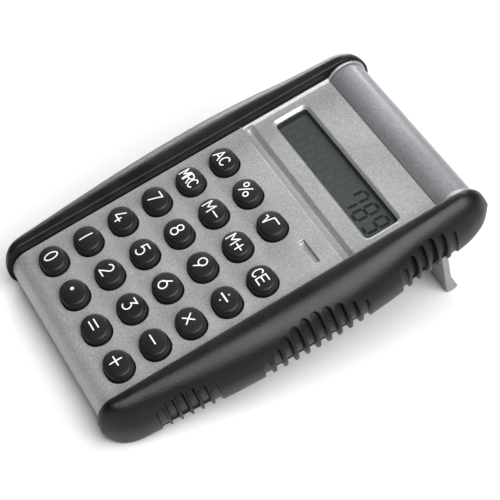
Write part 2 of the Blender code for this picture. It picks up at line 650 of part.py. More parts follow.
def main():
    clear_scene()
    home = new_collection("desk_calculator")
    cutters = new_collection("cutters")
    base = bpy.data.objects.new("plate_frame", None)
    home.objects.link(base)
    materials = {
        "silver": make_material("silver_paint", (0.50, 0.51, 0.52), 0.38, 0.6),
        "plastic": make_material("dark_plastic", (0.05, 0.05, 0.055), 0.5),
        "rubber": make_material("black_rubber", (0.022, 0.022, 0.024), 0.6),
        "lens": make_material("clear_lens", (0.9, 0.92, 0.92), 0.05, 0.0, 1.0),
        "lcd": make_material("lcd_glass", (0.24, 0.28, 0.26), 0.3),
        "black": make_material("black_foam", (0.01, 0.01, 0.01), 0.8),
        "pink": make_material("elastomer", (0.7, 0.45, 0.45), 0.6),
        "board": make_material("board_green", (0.05, 0.22, 0.1), 0.5),
        "steel": make_material("bright_steel", (0.6, 0.6, 0.6), 0.25, 1.0),
    }
    build_front_cover(home, cutters, base, materials["silver"])
    build_rear_cover(home, cutters, base, materials["plastic"])
    build_grip("grip_left", -1, home, cutters, base, materials["rubber"])
    build_grip("grip_right", 1, home, cutters, base, materials["rubber"])
    build_flip_cover(home, cutters, base, materials["silver"])
    build_hinge(home, cutters, base, materials["plastic"], materials["steel"])
    build_keys(home, base, materials["rubber"])
    build_display(home, cutters, base, materials)
    build_web(home, cutters, base, materials["rubber"])
    build_board(home, cutters, base, materials)
    build_screws("case_screw", CASE_SCREW_PLACES, home, base, materials["steel"],
                 (1.7 * MM, -15.2 * MM, -14.2 * MM), (1.0 * MM, -4.6 * MM))
    build_screws("board_screw", BOARD_SCREW_PLACES, home, base, materials["steel"],
                 (1.8 * MM, -8.7 * MM, BOARD_Z[0] - GAP), (0.8 * MM, -3.0 * MM))
    build_battery(home, base, materials)
    bpy.context.view_layer.update()
    stand_up(base, home)


main()
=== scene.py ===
"""Looks of the desk calculator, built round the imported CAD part.

Visible pieces are modelled in millimetres in the keypad plate's own frame: X across the keys, Y from the
keypad to the display, Z out of the plate, with the plate's face at zero. PLATE places that frame in the
world, tilted as the calculator stands.
"""

import json
import math

import bmesh
import bpy
import numpy as np
from mathutils import Matrix, Vector


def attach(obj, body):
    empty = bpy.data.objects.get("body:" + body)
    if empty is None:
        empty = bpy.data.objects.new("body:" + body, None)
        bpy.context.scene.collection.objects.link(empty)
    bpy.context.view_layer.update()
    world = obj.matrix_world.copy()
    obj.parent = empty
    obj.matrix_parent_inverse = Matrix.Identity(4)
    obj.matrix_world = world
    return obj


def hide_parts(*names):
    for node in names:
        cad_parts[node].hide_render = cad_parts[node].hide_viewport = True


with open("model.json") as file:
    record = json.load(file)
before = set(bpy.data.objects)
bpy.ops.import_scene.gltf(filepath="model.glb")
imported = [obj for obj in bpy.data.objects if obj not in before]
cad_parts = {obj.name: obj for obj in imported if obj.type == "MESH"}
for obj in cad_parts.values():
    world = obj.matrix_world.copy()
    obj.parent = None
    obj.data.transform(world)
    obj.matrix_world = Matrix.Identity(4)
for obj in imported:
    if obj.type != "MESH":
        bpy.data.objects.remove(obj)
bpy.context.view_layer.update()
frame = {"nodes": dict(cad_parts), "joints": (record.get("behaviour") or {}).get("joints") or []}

# ---------------------------------------------------------------- dimensions in millimetres and degrees

# Case: the plate's half width, the panel with the display in it, and the outline from the side
PLATE_HALF = 34.1
WALL = 1.8
PANEL_HALF = 33.2
PANEL_Z = -0.7
PANEL_END_Y = 77.45
FRONT_Y = -44.7
FRONT_RADIUS = 7.0
END_WALL_Y = 75.4
PARTING_Z = -9.0
BACK_Z = -15.2
BACK_RADIUS = 5.9
GROOVE_NEAR_Y = 43.2
GROOVE_FLOOR_Z = -2.5
GROOVE_CORNER = 1.6
PANEL_WALL_Z = -2.0
WINDOW_HALF = (28.9, 5.85)
WINDOW_Y = 59.5
WINDOW_CORNER = 1.3
WINDOW_LEVELS = ((0.0, -2.6), (0.0, -1.8), (0.95, PANEL_Z), (2.1, 0.6))
SLOT_CENTRE = (22.8, 36.5)
SLOT_HALF = (5.1, 1.0)
SLOT_DEPTH = 1.55

# Flip cover: hinge axis as Y and Z, barrel, plate and toe
AXIS = (83.3, -5.0)
EAR_RADIUS = 7.6
BARREL_RADIUS = 7.0
BORE_RADIUS = 5.4
COVER_HALF = 32.8
COVER_LENGTH = 42.5
COVER_LEAN = 0.8
COVER_THICKNESS = 2.4
COVER_OFFSET = 7.4

# Keys: spacing and half size across and along, gap round each, top, rows from the display down, and ink
PITCH = (16.0, 12.72)
KEY_HALF = (5.45, 4.45)
KEY_GAP = 0.3
KEY_TOP_Z = 3.1
KEY_DOME = 0.42
KEY_FILLET_Z = 2.0
KEY_TAPER = 0.2
KEY_FILLET = 0.75
KEY_ROWS = (
    ("ac", "percent", "root", None),
    ("mrc", "m_minus", "m_plus", "ce"),
    ("7", "8", "9", "divide"),
    ("4", "5", "6", "times"),
    ("1", "2", "3", "minus"),
    ("0", "point", "equals", "plus"),
)
WORD_HEIGHT = 3.6
DIGIT_HALF_HEIGHT = 2.25
INK_HALF_WIDTH = 0.225
INK_THICKNESS = 0.03
INK_GRID = 0.1
INK_REACH = (4.6, 3.2)

# Underside: button cell's place, battery door and screws, which are radius and Z from head to tip
CELL_CENTRE = (0.0, 4.0)
CELL_WELL_RADIUS = 6.1
DOOR_HALF = (11.0, 9.0)
DOOR_THICKNESS = 0.9
DOOR_TRAVEL = 14.0
DOOR_GAP = 0.3
DOOR_TRACK_Z = -14.0
CASE_SCREWS = [(side * x, y) for x, y in ((29.6, -40.0), (30.6, 46.2), (30.6, 70.3)) for side in (-1, 1)]
SCREW_HOLE_RADIUS = 2.0
SCREW_PROFILE = ((0.9, -15.2), (1.35, -15.1), (1.6, -14.85), (1.7, -14.5), (1.7, -14.2), (1.0, -14.15),
                 (1.0, -4.6))
CROSS_HALF = (1.0, 0.2)
CROSS_Z = (-15.6, -14.75)

# Grips: the plan gives the outer side's X at each Y
GRIP_INNER = 34.4
GRIP_TOP_Z = 3.6
GRIP_BOTTOM_Z = -15.7
GRIP_MID_Z = -7.0
GRIP_NEAR_Y = -46.1
GRIP_FAR_Y = 92.3
GRIP_PLAN = ((-47, 35.7), (-44, 38.6), (-39, 41.3), (-30, 42.8), (-12, 45.1), (6, 46.7),
             (42, 47.0), (54, 45.8), (66, 44.0), (78, 42.9), (85, 41.8), (89, 40.2), (93, 36.6))
CREST_DROP = 0.4
WIDEST_DROP = 10.5
KNEE_SHARE = 0.27
UNDER_SHARE = 0.70
SHOULDER_POWER = 1.2
NEAR_ROUND_Y = -39.0
TOP_ROUND_Y = AXIS[0] - 0.8
BOTTOM_ROUND_Y = 75.0

# Finger channels by group: first Y, pitch, count, Z of the highest top, the place in the group where it is,
# and how far tops fall from it, times the steps away squared
CHANNEL_ZONES = (
    (-28.2, 3.5, 6, -0.5, 2.2, 0.38),
    (6.6, 3.87, 10, 1.1, 4.7, 0.24),
    (56.8, 3.83, 6, 0.1, 2.6, 0.38),
)
CHANNEL_RADIUS = 1.25
CHANNEL_DEPTH = 2.2
CHANNEL_WALL = 0.4

# Display: digits on the LCD, which has its face at LCD_Z
LCD_Z = -3.995
DIGIT_SIZE = (4.6, 9.4)
SEGMENT_WIDTH = 1.1
SEGMENT_GAP = 0.16
SEGMENT_LIFT = {True: 0.035, False: 0.01}
DIGIT_SLANT = 0.07
DIGIT_PITCH = 6.1
LAST_DIGIT = (24.2, 59.4)
DIGIT_PLACES = 9
READING = "789"

# Camera: place in the plate's frame in metres, the direction it is seen in from the plate, and its roll
CAMERA_PLACE = (0.29624, -0.04504, 0.3918)
CAMERA_AZIMUTH = -13.195
CAMERA_HEIGHT = 53.207
CAMERA_ROLL = -19.838
CAMERA_LENS = 112.97

joints = {joint["name"]: joint for joint in frame["joints"]}
press = Vector(joints["key_5_press"]["axis"])
TURN = Matrix.Rotation(math.atan2(press.y, -press.z), 4, "X")
HINGE = Vector(joints["flip_cover_hinge"]["pos_m"])
PLATE = Matrix.Translation(HINGE - TURN @ Vector((0.0, AXIS[0], AXIS[1])) * 0.001) @ TURN
PLATE_MM = PLATE @ Matrix.Scale(0.001, 4)


# ---------------------------------------------------------------- materials

def new_material(name, colour, roughness, metallic=0.0, **inputs):
    """Plain material. Further inputs are named as the shader has them, with underscores for spaces."""
    material = bpy.data.materials.new(name)
    material.use_nodes = True
    shader = material.node_tree.nodes["Principled BSDF"]
    shader.inputs["Base Color"].default_value = (*colour, 1.0)
    shader.inputs["Roughness"].default_value = roughness
    shader.inputs["Metallic"].default_value = metallic
    for key, value in inputs.items():
        shader.inputs[key.replace("_", " ")].default_value = value
    return material


def texture(material, kind, scale, **inputs):
    """A procedural texture in object coordinates, in cells per metre."""
    tree = material.node_tree
    place = tree.nodes.new("ShaderNodeTexCoord")
    node = tree.nodes.new(kind)
    tree.links.new(place.outputs["Object"], node.inputs["Vector"])
    node.inputs["Scale"].default_value = scale
    for key, value in inputs.items():
        node.inputs[key].default_value = value
    return node


def ramp(material, source, low, high, stops=(0.0, 1.0)):
    """Colour that goes from low to high as the source goes from one stop to the other."""
    tree = material.node_tree
    node = tree.nodes.new("ShaderNodeValToRGB")
    node.color_ramp.elements[0].position = stops[0]
    node.color_ramp.elements[1].position = stops[1]
    node.color_ramp.elements[0].color = (*low, 1.0)
    node.color_ramp.elements[1].color = (*high, 1.0)
    tree.links.new(source, node.inputs["Fac"])
    return node.outputs["Color"]


def bump(material, sources):
    """Chain of bumps: (height output, strength, distance in metres)."""
    tree = material.node_tree
    shader = tree.nodes["Principled BSDF"]
    last = None
    for height, strength, distance in sources:
        node = tree.nodes.new("ShaderNodeBump")
        node.inputs["Strength"].default_value = strength
        node.inputs["Distance"].default_value = distance
        tree.links.new(height, node.inputs["Height"])
        if last:
            tree.links.new(last.outputs["Normal"], node.inputs["Normal"])
        last = node
    tree.links.new(last.outputs["Normal"], shader.inputs["Normal"])


def connect(material, output, socket):
    """Feed an output into one of the shader's inputs."""
    material.node_tree.links.new(output, material.node_tree.nodes["Principled BSDF"].inputs[socket])


def silver_paint(name, low, high, metallic, roughness):
    """Satin silver paint: small flakes that differ in brightness, under a thin clear coat."""
    paint = new_material(name, high, roughness, metallic, Coat_Weight=0.15, Coat_Roughness=0.25)
    flakes = texture(paint, "ShaderNodeTexVoronoi", 3400.0)
    connect(paint, ramp(paint, flakes.outputs["Color"], low, high), "Base Color")
    grain = texture(paint, "ShaderNodeTexNoise", 3500.0, Detail=3.0)
    drift = texture(paint, "ShaderNodeTexNoise", 60.0, Detail=2.0)
    low, high = (roughness - 0.05,) * 3, (roughness + 0.05,) * 3
    connect(paint, ramp(paint, drift.outputs["Fac"], low, high, (0.3, 0.7)), "Roughness")
    bump(paint, [(grain.outputs["Fac"], 0.35, 0.00003)])
    return paint


def rubber(name, colour, worn, roughness, grain_scale, strength):
    """Moulded rubber: fine grain, with a slight uneven sheen."""
    material = new_material(name, colour, roughness, Specular_IOR_Level=0.23)
    drift = texture(material, "ShaderNodeTexNoise", 90.0, Detail=4.0)
    connect(material, ramp(material, drift.outputs["Fac"], colour, worn, (0.35, 0.7)), "Base Color")
    low, high = (roughness - 0.06,) * 3, (roughness + 0.06,) * 3
    connect(material, ramp(material, drift.outputs["Fac"], low, high, (0.3, 0.7)), "Roughness")
    grain = texture(material, "ShaderNodeTexNoise", grain_scale, Detail=4.0, Roughness=0.6)
    bump(material, [(grain.outputs["Fac"], strength, 0.00010)])
    return material


def lcd_material():
    """Grey-green face of the display, slightly cloudy."""
    material = new_material("lcd_face", (0.05, 0.06, 0.055), 0.5, Specular_IOR_Level=0.2)
    cloud = texture(material, "ShaderNodeTexNoise", 140.0, Detail=2.0)
    connect(material, ramp(material, cloud.outputs["Fac"], (0.100, 0.117, 0.108), (0.120, 0.139, 0.128)),
            "Base Color")
    return material


def board_material():
    """Green solder mask, slightly uneven."""
    material = new_material("board_mask", (0.03, 0.16, 0.07), 0.4)
    cloud = texture(material, "ShaderNodeTexNoise", 700.0, Detail=2.0)
    connect(material, ramp(material, cloud.outputs["Fac"], (0.02, 0.13, 0.05), (0.04, 0.19, 0.08)),
            "Base Color")
    return material


SILVER = silver_paint("silver_paint_fine", (0.225, 0.225, 0.224), (0.40, 0.40, 0.396), 0.55, 0.42)
# The cover's paint is a darker, bluer copy of the plate's silver paint: painted shade and a painted bluish
# reflection on the bar and leg.
COVER_SILVER_SHADED = silver_paint("cover_paint_shaded", (0.17, 0.173, 0.181), (0.30, 0.304, 0.317), 0.55, 0.40)
GRIP = rubber("grip_rubber_fine", (0.003, 0.003, 0.0034), (0.0045, 0.0045, 0.0044), 0.35, 1700.0, 1.0)
KEY = rubber("key_rubber_fine", (0.003, 0.0031, 0.0033), (0.0045, 0.0047, 0.005), 0.46, 3000.0, 0.3)
PLASTIC = rubber("back_plastic", (0.030, 0.030, 0.033), (0.040, 0.040, 0.043), 0.5, 2200.0, 0.5)
FOAM = rubber("black_foam_fine", (0.006, 0.006, 0.006), (0.010, 0.010, 0.010), 0.8, 2500.0, 0.4)
INK = new_material("legend_ink", (0.50, 0.51, 0.52), 0.5)
SEGMENT = new_material("lcd_segment", (0.006, 0.008, 0.0075), 0.5, Specular_IOR_Level=0.1)
GHOST = new_material("lcd_unlit_segment", (0.090, 0.107, 0.098), 0.5, Specular_IOR_Level=0.2)
LCD = lcd_material()
BOARD = board_material()
LENS = new_material("lens_clear", (0.02, 0.025, 0.022), 0.04, Alpha=0.3, Specular_IOR_Level=0.8)
PINK = rubber("elastomer_strip", (0.55, 0.30, 0.30), (0.62, 0.36, 0.36), 0.6, 1500.0, 0.3)
STEEL = new_material("bright_steel_fine", (0.62, 0.62, 0.63), 0.28, 1.0)
brushed = texture(STEEL, "ShaderNodeTexNoise", 1500.0, Detail=3.0)
bump(STEEL, [(brushed.outputs["Fac"], 0.25, 0.00002)])


# ---------------------------------------------------------------- shape helpers

def add_piece(name, mesh, material, body, slot, *nodes, to_world=PLATE_MM):
    """Place a mesh drawn in the plate frame, let it ride on a body and stand for its CAD nodes."""
    mesh.transform(to_world)
    mesh.materials.clear()
    mesh.materials.append(material)
    item = bpy.data.objects.new(name, mesh)
    bpy.context.scene.collection.objects.link(item)
    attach(item, body)
    if nodes:
        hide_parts(*nodes)


def mesh_of(bm, name):
    """Mesh from a bmesh, with its faces turned outwards. The bmesh is freed."""
    bmesh.ops.recalc_face_normals(bm, faces=bm.faces)
    mesh = bpy.data.meshes.new(name)
    bm.to_mesh(mesh)
    bm.free()
    return mesh


def carve(name, bm, steps, width=0.25, segments=3, angle=38):
    """Boolean steps on a solid, then small round edges."""
    base = bpy.data.objects.new(name, mesh_of(bm, name))
    bpy.context.scene.collection.objects.link(base)
    helpers = [base]
    for operation, tool_bm in steps:
        tool = bpy.data.objects.new(name + "_tool", mesh_of(tool_bm, name + "_tool"))
        bpy.context.scene.collection.objects.link(tool)
        helpers.append(tool)
        step = base.modifiers.new("step", "BOOLEAN")
        step.operation = operation
        step.solver = "EXACT"
        step.object = tool
    tidy = base.modifiers.new("tidy", "WELD")
    tidy.merge_threshold = 0.002
    if width:
        edge = base.modifiers.new("edge", "BEVEL")
        edge.width = width
        edge.segments = segments
        edge.limit_method = "ANGLE"
        edge.angle_limit = math.radians(angle)
        edge.use_clamp_overlap = False
        edge.miter_outer = "MITER_ARC"
    weigh = base.modifiers.new("weigh", "WEIGHTED_NORMAL")
    weigh.keep_sharp = True
    base.data.shade_smooth()
    bpy.context.view_layer.update()
    depsgraph = bpy.context.evaluated_depsgraph_get()
    mesh = bpy.data.meshes.new_from_object(base.evaluated_get(depsgraph))
    for helper in helpers:
        bpy.data.objects.remove(helper)
    return mesh


def rounded_outline(half, radius, steps, centre=(0.0, 0.0)):
    """Rectangle with round corners, anticlockwise."""
    points = []
    for quarter, (sx, sy) in enumerate(((1, 1), (-1, 1), (-1, -1), (1, -1))):
        for step in range(steps + 1):
            a = math.radians(90) * (quarter + step / steps)
            point = (centre[0] + sx * (half[0] - radius) + radius * math.cos(a),
                     centre[1] + sy * (half[1] - radius) + radius * math.sin(a))
            if not points or math.dist(points[-1], point) > 0.01:
                points.append(point)
    if math.dist(points[0], points[-1]) < 0.01:
        points.pop()
    return points


def arc_points(centre, radius, start, end, steps):
    """Points along an arc, with both ends, from angles in degrees."""
    angles = [math.radians(start + (end - start) * step / steps) for step in range(steps + 1)]
    return [(centre[0] + radius * math.cos(a), centre[1] + radius * math.sin(a)) for a in angles]


def prism(outline, low, high, axis="Z", bm=None):
    """Closed outline extruded along Z from XY points, or along X from YZ points."""
    bm = bm or bmesh.new()
    lower, upper = ([bm.verts.new((w, u, v) if axis == "X" else (u, v, w)) for u, v in outline]
                    for w in (low, high))
    for i in range(len(outline)):
        j = (i + 1) % len(outline)
        bm.faces.new((lower[i], lower[j], upper[j], upper[i]))
    bm.faces.new(lower[::-1])
    bm.faces.new(upper)
    return bm


def tower(levels, bm=None):
    """Closed stack of outlines with the same number of points."""
    bm = bm or bmesh.new()
    rings = [[bm.verts.new((x, y, z)) for x, y in outline] for outline, z in levels]
    for lower, upper in zip(rings, rings[1:]):
        for i in range(len(lower)):
            j = (i + 1) % len(lower)
            bm.faces.new((lower[i], lower[j], upper[j], upper[i]))
    bm.faces.new(rings[0][::-1])
    bm.faces.new(rings[-1])
    return bm


def rod(radius, start, end, segments, bm=None):
    """Closed cylinder between two points."""
    bm = bm or bmesh.new()
    start, end = Vector(start), Vector(end)
    turn = (end - start).to_track_quat("Z", "Y").to_matrix().to_4x4()
    place = Matrix.Translation((start + end) / 2) @ turn
    bmesh.ops.create_cone(bm, cap_ends=True, cap_tris=False, segments=segments, radius1=radius,
                          radius2=radius, depth=(end - start).length, matrix=place)
    return bm


def box(x, y, z, bm=None):
    """Box from its lowest and highest X, Y and Z."""
    bm = bm or bmesh.new()
    size = Vector((x[1] - x[0], y[1] - y[0], z[1] - z[0]))
    centre = Vector((x[0] + x[1], y[0] + y[1], z[0] + z[1])) / 2
    bmesh.ops.create_cube(bm, size=1.0, matrix=Matrix.Translation(centre) @ Matrix.Diagonal((*size, 1.0)))
    return bm


def key_places():
    """Each key's name and its middle on the plate."""
    for row, names in enumerate(KEY_ROWS):
        for column, name in enumerate(names):
            if name:
                yield name, ((column - 1.5) * PITCH[0], (2.5 - row) * PITCH[1])


def key_outline(grow, centre=(0.0, 0.0), steps=10):
    """A key's outline with round ends, grown or shrunk all round."""
    half = (KEY_HALF[0] + grow, KEY_HALF[1] + grow)
    return rounded_outline(half, half[1], steps, centre)


# ---------------------------------------------------------------- front cover

def front_cover():
    """Painted top shell: key holes, groove, display panel with its window, slot and the two hinge ears."""
    bend = (FRONT_Y + FRONT_RADIUS, -FRONT_RADIUS)
    ledge_z = -1.6
    profile = [(END_WALL_Y, PARTING_Z), (END_WALL_Y, ledge_z), (PANEL_END_Y - 0.5, ledge_z),
               (PANEL_END_Y, PANEL_Z), (PANEL_END_Y, 0.0)]
    profile += arc_points(bend, FRONT_RADIUS, 90, 180, 16) + [(FRONT_Y, PARTING_Z)]
    shell = prism(profile, -PLATE_HALF, PLATE_HALF, "X")

    ears = bmesh.new()
    for side in (-1, 1):
        rod(EAR_RADIUS, (side * PANEL_HALF, *AXIS), (side * PLATE_HALF, *AXIS), 72, ears)

    below = PARTING_Z - 1
    inner_end = END_WALL_Y - WALL
    groove_wall_z = -3.9
    inside = [(inner_end, below), (inner_end, PANEL_WALL_Z), (51.4, PANEL_WALL_Z), (51.4, groove_wall_z),
              (40.2, groove_wall_z), (40.2, -WALL)]
    inside += arc_points(bend, FRONT_RADIUS - WALL, 90, 180, 8) + [(FRONT_Y + WALL, below)]
    hollow = prism(inside, WALL - PLATE_HALF, PLATE_HALF - WALL, "X")

    over, beyond = 1.0, 80.0
    floor = [(GROOVE_NEAR_Y, over), (GROOVE_NEAR_Y, 0.0), (45.2, GROOVE_FLOOR_Z), (46.1, GROOVE_FLOOR_Z),
             (47.4, PANEL_Z), (beyond, PANEL_Z), (beyond, over)]
    recess = prism(floor, -PANEL_HALF, PANEL_HALF, "X")
    corners = [edge for edge in recess.edges
               if all(abs(vert.co.y - GROOVE_NEAR_Y) < 0.01 for vert in edge.verts)
               and abs(edge.verts[0].co.x - edge.verts[1].co.x) < 0.01]
    bmesh.ops.bevel(recess, geom=corners, offset=GROOVE_CORNER, segments=6, profile=0.5, affect="EDGES")

    holes = bmesh.new()
    for _, centre in key_places():
        prism(key_outline(KEY_GAP, centre), -2.6, over, bm=holes)
    levels = []
    for grow, z in WINDOW_LEVELS:
        half = (WINDOW_HALF[0] + grow, WINDOW_HALF[1] + grow)
        levels.append((rounded_outline(half, WINDOW_CORNER + grow, 8, (0.0, WINDOW_Y)), z))
    tower(levels, holes)
    prism(rounded_outline(SLOT_HALF, 0.4, 4, SLOT_CENTRE), -SLOT_DEPTH, over, bm=holes)
    steps = [("UNION", ears), ("DIFFERENCE", hollow), ("DIFFERENCE", recess), ("DIFFERENCE", holes)]
    mesh = carve("front_cover_fine", shell, steps, width=0.28)
    add_piece("front_cover_fine", mesh, SILVER, "case", "silver_paint", "front_cover")


# ---------------------------------------------------------------- rear cover, screws and battery door

def rear_cover():
    """Bottom of the case, drawn solid, with screw holes, the door's track and the button cell's well."""
    radius = BACK_RADIUS
    top = PARTING_Z - 0.3
    outline = [(END_WALL_Y, top), (FRONT_Y, top)]
    outline += arc_points((FRONT_Y + radius, BACK_Z + radius), radius, 180, 270, 12)
    outline += [(END_WALL_Y, BACK_Z)]
    bottom = prism(outline, -PLATE_HALF, PLATE_HALF, "X")
    below = BACK_Z - 1
    cuts = bmesh.new()
    for x, y in CASE_SCREWS:
        rod(SCREW_HOLE_RADIUS, (x, y, below), (x, y, -13.9), 32, cuts)
    x, y = CELL_CENTRE
    across = (x - DOOR_HALF[0] - DOOR_GAP, x + DOOR_HALF[0] + DOOR_GAP)
    track = (y - DOOR_HALF[1] - DOOR_GAP, y + DOOR_HALF[1] + DOOR_TRAVEL + DOOR_GAP)
    box(across, track, (below, DOOR_TRACK_Z), cuts)
    well = rod(CELL_WELL_RADIUS, (x, y, DOOR_TRACK_Z - 1.0), (x, y, -12.6), 48)
    mesh = carve("rear_cover_fine", bottom, [("DIFFERENCE", cuts), ("DIFFERENCE", well)])
    add_piece("rear_cover_fine", mesh, PLASTIC, "case", "dark_plastic", "rear_cover")


def battery_door():
    """Thin sliding lid with four finger grooves and an arrow."""
    x, y = CELL_CENTRE
    lid = box((x - DOOR_HALF[0], x + DOOR_HALF[0]), (y - DOOR_HALF[1], y + DOOR_HALF[1]),
              (BACK_Z, BACK_Z + DOOR_THICKNESS))
    below = BACK_Z - 0.5
    marks = bmesh.new()
    for index in range(4):
        at = y + 2.4 + 1.6 * index
        prism([(at - 0.45, below), (at + 0.45, below), (at, BACK_Z + 0.4)], x - 5.0, x + 5.0, "X", marks)
    left = [(x - 1.6, y - 1.8), (x - 0.5, y - 1.8), (x - 0.5, y - 5.0)]
    right = [(x + 0.5, y - 5.0), (x + 0.5, y - 1.8), (x + 1.6, y - 1.8)]
    prism([(x, y + 0.6)] + left + right, below, BACK_Z + 0.25, bm=marks)
    mesh = carve("battery_door_fine", lid, [("DIFFERENCE", marks)], width=0.12)
    add_piece("battery_door_fine", mesh, PLASTIC, "battery_door", "dark_plastic", "battery_door")


def case_screws():
    """Six screws with rounded heads and a cross recess."""
    long, short = CROSS_HALF
    for number, (x, y) in enumerate(CASE_SCREWS, 1):
        levels = [(arc_points((x, y), radius, 0, 345, 23), z) for radius, z in SCREW_PROFILE]
        cross = [("DIFFERENCE", box((x - a, x + a), (y - b, y + b), CROSS_Z))
                 for a, b in ((long, short), (short, long))]
        mesh = carve("screw", tower(levels), cross, width=0.0)
        add_piece(f"case_screw_{number}_fine", mesh, STEEL, "case", "bright_steel", f"case_screw_{number}")


# ---------------------------------------------------------------- flip cover

def flip_cover():
    """Hollow barrel with a flat plate that leans back a little and ends in a toe to stand on."""
    near = AXIS[0] - COVER_OFFSET
    far = near + COVER_THICKNESS
    foot = AXIS[1] - COVER_LENGTH
    toe_near, toe_far = near - COVER_LEAN, far - COVER_LEAN
    barrel = rod(BARREL_RADIUS, (-COVER_HALF, *AXIS), (COVER_HALF, *AXIS), 128)
    profile = [(near, AXIS[1] + 0.4), (toe_near, foot + 0.6), (toe_near + 0.6, foot), (toe_far + 1.2, foot),
               (toe_far + 2.0, foot + 0.8), (toe_far + 1.2, foot + 3.6), (toe_far + 0.45, foot + 6.4),
               (toe_far + 0.16, foot + 8.8), (far, AXIS[1] - 2.0), (far + 0.9, AXIS[1])]
    plate = prism(profile, -COVER_HALF, COVER_HALF, "X")
    bore = rod(BORE_RADIUS, (-COVER_HALF - 1, *AXIS), (COVER_HALF + 1, *AXIS), 64)
    mesh = carve("flip_cover_fine", barrel, [("UNION", plate), ("DIFFERENCE", bore)], width=0.3)
    # Painted with the darker, bluer copy of the silver paint, which stands in for shade and a bluish
    # reflection.
    add_piece("flip_cover_fine", mesh, COVER_SILVER_SHADED, "flip_cover", "silver_paint", "flip_cover")


# ---------------------------------------------------------------- grips

def smooth_between(table, where):
    """Smooth curve through a table of places and values."""
    places = np.array([row[0] for row in table], dtype=float)
    values = np.array([row[1] for row in table], dtype=float)
    slopes = np.gradient(values, places)
    index = np.clip(np.searchsorted(places, where) - 1, 0, len(places) - 2)
    span = places[index + 1] - places[index]
    t = (where - places[index]) / span
    return ((2 * t**3 - 3 * t**2 + 1) * values[index] + (t**3 - 2 * t**2 + t) * span * slopes[index]
            + (3 * t**2 - 2 * t**3) * values[index + 1] + (t**3 - t**2) * span * slopes[index + 1])


def grip_stations():
    """Places along Y: close together where there are channels and at the round ends."""
    middle = (GRIP_NEAR_Y + GRIP_FAR_Y) / 2
    reach = (GRIP_FAR_Y - GRIP_NEAR_Y) / 2 - 0.05
    parts = [middle + reach * np.sin(np.linspace(-1, 1, 150) * math.pi / 2)]
    margin, fine, closest = 1.6, 0.15, 0.07
    for first, pitch, count, *_ in CHANNEL_ZONES:
        parts.append(np.arange(first - margin, first + pitch * (count - 1) + margin, fine))
    places = np.sort(np.concatenate(parts))
    return places[np.concatenate(([True], np.diff(places) > closest))]


def grip_shape():
    """Section points for each station: arrays of x and z by station and by point."""
    y = grip_stations()
    half = smooth_between(GRIP_PLAN, y)

    def end(start, stop):
        """One on the straight part, falling as a quarter ellipse to nothing at the end."""
        share = np.clip((y - start) / (stop - start), 0.0, 1.0)
        return np.sqrt(1.0 - share**2)

    near = end(NEAR_ROUND_Y, GRIP_NEAR_Y)
    top = GRIP_MID_Z + (GRIP_TOP_Z - GRIP_MID_Z) * near * end(TOP_ROUND_Y, GRIP_FAR_Y)
    bottom = GRIP_MID_Z + (GRIP_BOTTOM_Z - GRIP_MID_Z) * near * end(BOTTOM_ROUND_Y, GRIP_FAR_Y)
    scale = (top - bottom) / (GRIP_TOP_Z - GRIP_BOTTOM_Z)
    crest = top - CREST_DROP * scale
    heel = bottom + CREST_DROP * scale
    widest = top - WIDEST_DROP * scale
    knee = GRIP_INNER + KNEE_SHARE * (half - GRIP_INNER)
    under = GRIP_INNER + UNDER_SHARE * (half - GRIP_INNER)
    xs, zs = [], []
    for share in np.linspace(0.0, 0.85, 6):
        xs.append(np.full_like(y, GRIP_INNER))
        zs.append(heel + (crest - heel) * share)
    for angle in np.radians(np.linspace(178, 90, 14)[1:]):
        xs.append(knee + (knee - GRIP_INNER) * math.cos(angle))
        zs.append(crest + (top - crest) * math.sin(angle))
    for angle in np.radians(np.linspace(88, 0, 84)):
        xs.append(knee + (half - knee) * math.cos(angle))
        zs.append(widest + (top - widest) * math.sin(angle) ** SHOULDER_POWER)
    for angle in np.radians(np.linspace(-3, -90, 34)):
        xs.append(under + (half - under) * math.cos(angle))
        zs.append(widest + (widest - bottom) * math.sin(angle))
    xs.append(np.full_like(y, GRIP_INNER + CREST_DROP))
    zs.append(bottom)
    return y, np.array(xs).T, np.array(zs).T


def channel_mask(y, z):
    """One inside the finger channels and nothing outside, with soft walls.

    The first and last channels of a group are weaker.
    """
    mask = np.zeros_like(z)
    for first, pitch, count, top, highest, fall in CHANNEL_ZONES:
        for index in range(count):
            high = top - fall * (index - highest) ** 2 - CHANNEL_RADIUS
            rise = np.maximum(z - high, 0.0)
            away = np.hypot(y[:, None] - first - pitch * index, rise)
            t = np.clip((CHANNEL_RADIUS + CHANNEL_WALL / 2 - away) / CHANNEL_WALL, 0.0, 1.0)
            fade = 1.0 - 0.5 * abs(2 * index / (count - 1) - 1) ** 6
            mask = np.maximum(mask, fade * t * t * (3 - 2 * t))
    return mask


def cut_channels(y, x, z):
    """Press the channels in along the surface's normal, less and less towards the underside."""
    across = np.gradient(x, axis=1)
    up = np.gradient(z, axis=1)
    length = np.maximum(np.hypot(across, up), 1e-6)
    out_x, out_z = -up / length, across / length
    share = np.clip((out_x + 0.25) / 0.75, 0.0, 1.0) ** 0.7
    depth = CHANNEL_DEPTH * share * channel_mask(y, z)
    return x - depth * out_x, z - depth * out_z


